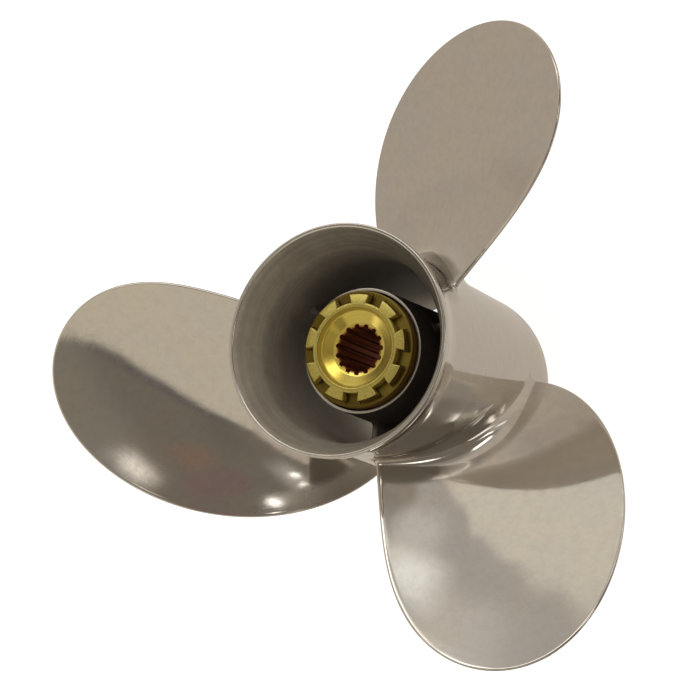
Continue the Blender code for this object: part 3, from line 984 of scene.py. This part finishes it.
def collar(finish):
    """A ninth of the toothed collar, from its forward face over the ledge and teeth into the dish."""
    outline = notch_outline()
    bevel = COLLAR_BEVEL
    ledge = FACE_Z - TOOTH_HEIGHT

    def toothed(inset, z):
        return [(x - inset * out_x, y - inset * out_y, z) for x, y, (out_x, out_y) in outline]

    loops = [
        collar_ring(DISH_SEAM_R - 0.0002, COLLAR_FORWARD_Z),
        collar_ring(COLLAR_R - bevel, COLLAR_FORWARD_Z),
        collar_ring(COLLAR_R, COLLAR_FORWARD_Z + bevel),
        collar_ring(COLLAR_R, ledge - bevel),
        collar_ring(COLLAR_R - bevel * 0.3, ledge - bevel * 0.3),
        collar_ring(COLLAR_R - bevel, ledge),
        collar_ring(COLLAR_R - 0.0009, ledge),
        toothed(-0.0006, ledge),
        toothed(-0.0001, ledge),
        toothed(0.0, ledge + 0.0001),
        toothed(0.0, FACE_Z - bevel),
        toothed(bevel * 0.3, FACE_Z - bevel * 0.3),
        toothed(bevel, FACE_Z),
    ]
    loops += [collar_ring(radius, FACE_Z - depth) for radius, depth in FACE_PROFILE]
    for share in shares(4)[1:]:
        radius = between(DISH_FLAT_R, DISH_SEAM_R, share)
        loops.append(collar_ring(radius, dish_height(radius)))
    loops.append(collar_ring(DISH_SEAM_R - 0.0002, FACE_Z - 0.0060))
    return add_piece("brass_collar", lofted(loops, True), finish)


def spline_outline():
    """A fifteenth of the bore's outline, with one round-bottomed groove."""
    half_turn = pi / SPLINES
    half = GROOVE_WIDTH / 2
    side = asin(half / SPLINE_TOP_R)
    points = []
    for share in shares(5):
        angle = between(half_turn, side, share)
        points.append((SPLINE_TOP_R * cos(angle), -SPLINE_TOP_R * sin(angle)))
    centre = SPLINE_ROOT_R - half
    for share in shares(8)[:-1]:
        angle = pi / 2 * (1 - share)
        points.append((centre + half * cos(angle), -half * sin(angle)))
    points.append((SPLINE_ROOT_R, 0.0))
    return points + [(x, -y) for x, y in points[-2::-1]]


def splined_sleeve(finish):
    """A fifteenth of the sleeve: the dish's floor, the splines and the forward end."""
    outline = spline_outline()
    angles = [atan2(y, x) for x, y in outline]

    def splined(wider, z):
        growth = [1 + wider / hypot(x, y) for x, y in outline]
        return [(x * factor, y * factor, z) for (x, y), factor in zip(outline, growth)]

    top = FACE_Z - DISH_DEPTH
    radii = [between(DISH_SEAM_R, DISH_FLOOR_R, share) - 0.00005 for share in shares(6)]
    loops = [
        circle(SLEEVE_R, angles, COLLAR_FORWARD_Z + 0.0005),
        circle(SLEEVE_R - 0.0003, angles, FACE_Z - 0.0045),
        circle(DISH_SEAM_R + 0.0002, angles, dish_height(DISH_SEAM_R) - 0.0001),
        *(circle(radius, angles, dish_height(radius)) for radius in radii),
        splined(0.00035, top),
        splined(0.00010, top - 0.00012),
        splined(0.0, top - 0.0004),
    ]
    high, low = top - 0.0004, SLEEVE_FORWARD_Z + 0.0006
    loops += [splined(0.0, between(high, low, share)) for share in shares(8)[1:]]
    loops += [
        splined(0.0006, SLEEVE_FORWARD_Z),
        circle(SLEEVE_R - 0.0006, angles, SLEEVE_FORWARD_Z),
        circle(SLEEVE_R, angles, SLEEVE_FORWARD_Z + 0.0006),
    ]
    return add_piece("brass_splined_sleeve", lofted(loops, True), finish)


def dress(piece, slot, *nodes):
    """The piece rides on the casting's body and stands for its solids, which it hides; the slot is not used.
    """
    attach(piece, "root")
    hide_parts(*nodes)


def make_pieces():
    marks = polishing_marks_group()
    turning = turning_marks_group()
    wear = edge_wear_group()
    grime = grime_group()
    steel = blade_finish(marks, wear)
    dark = tube_finish(turning, grime)
    brass = brass_finish(turning, wear, grime)
    greased = bore_finish(turning, grime)
    barrel_steel = barrel_finish(marks, turning, wear, grime)

    dress(turned("barrel_and_ring", barrel_profile(), barrel_steel), "polished_stainless", "barrel")
    dress(turned("inner_hub_tube", tube_profile(), dark), "polished_stainless", "inner_tube")
    dress(turned("bush", bush_profile(), rubber_finish(grime)), "black_rubber", "rubber_bush")

    tree = blade_tree()
    for number in range(BLADES):
        angle = FIRST_BLADE + tau * number / BLADES
        blade = grown(f"swept_blade_{number + 1}", tree, {"First angle": angle, "Finish": steel})
        dress(blade, "polished_stainless", f"blade_{number + 1}")

    ring = ring_of_copies_tree()
    ribs = grown("ribs", ring, {"Count": RIBS, "First angle": FIRST_RIB, "Finish": dark}, rib(dark))
    dress(ribs, "polished_stainless", "rib_1", "rib_2", "rib_3")
    values = {"Count": TEETH, "First angle": FIRST_NOTCH, "Finish": brass}
    dress(grown("brass_collar", ring, values, collar(brass)), "machined_brass", "brass_drive_sleeve")
    values = {"Count": SPLINES, "First angle": FIRST_SPLINE, "Finish": greased}
    sleeve = grown("brass_splined_sleeve", ring, values, splined_sleeve(greased))
    dress(sleeve, "machined_brass", "brass_drive_sleeve")


# Studio

SWEEP = (0.61, 0.54, 0.455)
ROOM_DARK = (0.225, 0.20, 0.165)
ROOM_GREY = (0.55, 0.52, 0.48)
ROOM_BORDER = (0.13, 0.125, 0.13)
# Soft panels in the room and on the sweep: azimuth, elevation, half width and half height in degrees,
# softness, how much of the panel covers what is behind it, and its colour
SWEEP_PANELS = (
    (-172, 30, 42, 60, 22, 1, (0.71, 0.65, 0.53)),
    (105, 8, 34, 18, 12, 1, (0.555, 0.495, 0.42)),
    (84, 1, 11, 5, 5, 1, (0.505, 0.445, 0.38)),
    (28, 24, 30, 13, 9, 1, (0.85, 0.80, 0.70)),
    (42, 5, 14, 5, 5, 0.7, (0.44, 0.38, 0.32)),
    (134, 34, 7, 5, 4, 1, (1.70, 1.62, 1.50)),
)
ROOM_PANELS = (
    (-60, 84, 180, 16, 12, 1, (0.42, 0.39, 0.35)),
    (-125, 54.5, 5, 3, 3, 0.9, (0.29, 0.20, 0.15)),
    (-112, 54, 6, 5, 4, 0.75, (0.25, 0.165, 0.165)),
    (-146, 66, 22, 6, 6, 0.8, (0.30, 0.275, 0.225)),
    (-131, 46, 8, 3, 5, 0.5, (0.17, 0.15, 0.13)),
    (-15, 21, 6, 6, 5, 0.9, (0.37, 0.33, 0.28)),
    (-4, 31, 8, 6, 7, 0.9, (0.76, 0.74, 0.69)),
    (16, 41, 10, 3.5, 5, 0.9, (0.74, 0.70, 0.64)),
    (0, 37.8, 8.5, 3.2, 5, 1, (1.22, 1.21, 1.14)),
    (-124, 63, 4, 1, 3, 1, (1.35, 1.28, 1.18)),
    (-106, 40.5, 7, 2.2, 4, 0.8, (0.62, 0.58, 0.52)),
    (-105.7, 39.6, 1.6, 0.7, 0.8, 1, (3.2, 3.1, 2.9)),
    (-100, 40, 1, 0.7, 0.8, 1, (3.2, 3.1, 2.9)),
    (-97, 48.5, 2, 0.9, 1, 1, (4.5, 4.4, 4.1)),
    (-39, 1.2, 7, 1.7, 2, 1, (2.6, 2.55, 2.4)),
    (-22, 10, 5, 2.5, 2, 1, (3.6, 3.5, 3.3)),
    (-105, 14, 1.6, 2, 1.5, 1, (2.6, 2.5, 2.3)),
    (-62, 28, 8, 5, 3, 1, (3.4, 3.3, 3.1)),
    (33, 51.5, 43, 6, 4, 1, (2.4, 2.35, 2.2)),
)

FLOOR_NEAR = (0.61, 0.55, 0.475)
FLOOR_FAR = (0.53, 0.47, 0.395)
FLOOR_PAINTED_SHADOW = (0.18, 0.155, 0.125)
FLOOR_PAINTED_LIGHT = (1.6, 1.52, 1.4)
FLOOR_SEEN = (0.86, 0.86, 0.86)
FLOOR_MATT = (0.5, 0.5, 0.5)
# Painted pools of light on the floor, each with its centre and its half width along x and y
FLOOR_LIGHT_POOLS = ((0.18, -0.46, 0.09, 0.20), (0.46, -0.30, 0.15, 0.11))


def add_panels(tree, colour, azimuth, elevation, panels):
    """Lays soft-edged panels over a colour that depends on the direction."""
    for middle, level, half_width, half_height, softness, cover, shade in panels:
        off = (azimuth - middle).apply("WRAP", 180.0, -180.0).abs() / half_width
        up = (elevation - level).abs() / half_height
        reach = (off**4.0 + up**4.0) ** 0.25
        edge = softness / min(half_width, half_height) / 2
        colour = blend(tree, reach.fall(max(1.0 - edge, 0.0), 1.0 + edge) * cover, colour, shade)
    return colour


def slanted(azimuth, start, level, slope):
    """The height of a slanting edge of the room, which is at a level where its azimuth is start."""
    return (azimuth - start) * slope + level


def make_world():
    """Soft light all round: a pale sweep behind, and over its slanting edges a dim room with a few lamps."""
    world = bpy.data.worlds.new("studio")
    scene.world = world
    world.use_nodes = True
    tree = world.node_tree
    direction = node(tree, "ShaderNodeTexCoord").outputs["Generated"]
    x, y, z = split(tree, direction)
    degrees = 180.0 / pi
    azimuth = y.apply("ARCTAN2", x) * degrees
    elevation = z.asin() * degrees
    sweep = add_panels(tree, SWEEP, azimuth, elevation, SWEEP_PANELS)
    room = blend(tree, azimuth.step(-34.0, -6.0), ROOM_DARK, ROOM_GREY)
    room = add_panels(tree, room, azimuth, elevation, ROOM_PANELS)

    # The room's edge over the sweep, on the left with a dark border and on the right ragged
    high_side = slanted(azimuth, -160.0, 54.3, -0.525).at_least(slanted(azimuth, -126.0, 38.0, -0.2))
    left_edge = high_side * azimuth.fall(-110.0, -99.0) + azimuth.fall(-166.0, -162.0) * 7.0
    ragged = (noise(tree, direction, 9.0, 3.0, 0.55) - 0.5) * 9.0
    right_edge = slanted(azimuth, 1.0, 14.0, 1.07).at_most(slanted(azimuth, 23.0, 30.5, 0.3)) + ragged
    border = (elevation - left_edge - 1.7).abs().fall(0.6, 2.2) * azimuth.fall(-140.0, -128.0)
    room = blend(tree, border * 0.8, room, ROOM_BORDER)
    over_edges = (elevation - left_edge).step(-0.9, 0.9) * (elevation - right_edge).step(-1.6, 1.6)
    both = blend(tree, over_edges.at_least(elevation.step(66.0, 78.0)), sweep, room)
    seen = node(tree, "ShaderNodeLightPath").outputs["Is Camera Ray"]
    feed(tree, tree.nodes["Background"].inputs["Color"], blend(tree, seen, both, WHITE))


def make_floor():
    """A plain pale floor, which glows for everything but the camera: in the steel's reflections it is
    lighter and warm beside the propeller, with a painted shadow on the viewer's left and painted pools of
    light.
    """
    finish = Finish("pale_floor")
    tree = finish.tree
    tree.nodes.remove(finish.shader)
    x, y, z = split(tree, finish.place)
    # In reflections only, the floor carries painted light beside the propeller, a painted shadow towards the
    # viewer's left and painted pools of light
    beside = (((x - 0.09) ** 2.0 + (y + 0.02) ** 2.0).sqrt()).step(0.10, 0.26)
    to_left = (x * -0.64 - y * 0.77).step(0.05, 0.34)
    mirrored = blend(tree, to_left, blend(tree, beside, FLOOR_NEAR, FLOOR_FAR), FLOOR_PAINTED_SHADOW)
    for middle_x, middle_y, half_x, half_y in FLOOR_LIGHT_POOLS:
        off = (((x - middle_x) / half_x) ** 2.0 + ((y - middle_y) / half_y) ** 2.0).sqrt()
        mirrored = blend(tree, off.fall(0.5, 1.2), mirrored, FLOOR_PAINTED_LIGHT)
    seen = node(tree, "ShaderNodeLightPath").outputs["Is Camera Ray"]
    glow = node(tree, "ShaderNodeEmission", {"Color": blend(tree, seen, mirrored, FLOOR_SEEN)})
    matt = node(tree, "ShaderNodeBsdfDiffuse", {"Color": blend(tree, seen, BLACK, FLOOR_MATT)})
    both = node(tree, "ShaderNodeAddShader", {0: glow.outputs[0], 1: matt.outputs[0]})
    feed(tree, tree.nodes["Material Output"].inputs["Surface"], both.outputs[0])
    shape = bmesh.new()
    bmesh.ops.create_grid(shape, x_segments=1, y_segments=1, size=12.0)
    add_piece("floor", shape, finish.material)


def make_camera():
    """The photograph's view: from aft, 63 degrees up, with the shaft leaning to the left."""
    camera = bpy.data.cameras.new("camera")
    camera.sensor_width = 36.0
    camera.lens = 119.84
    camera.clip_end = 50.0
    holder = bpy.data.objects.new("camera", camera)
    right = (0.368463, -0.830801, -0.417138)
    up = (0.929642, 0.329287, 0.165332)
    back = (0.0, -0.448708, 0.893678)
    place = (-0.001931, -0.499318, 1.129232)
    holder.matrix_world = Matrix([*zip(right, up, back, place), (0.0, 0.0, 0.0, 1.0)])
    scene.collection.objects.link(holder)
    scene.camera = holder


make_pieces()
make_world()
make_floor()
make_camera()
scene.view_settings.view_transform = "Standard"
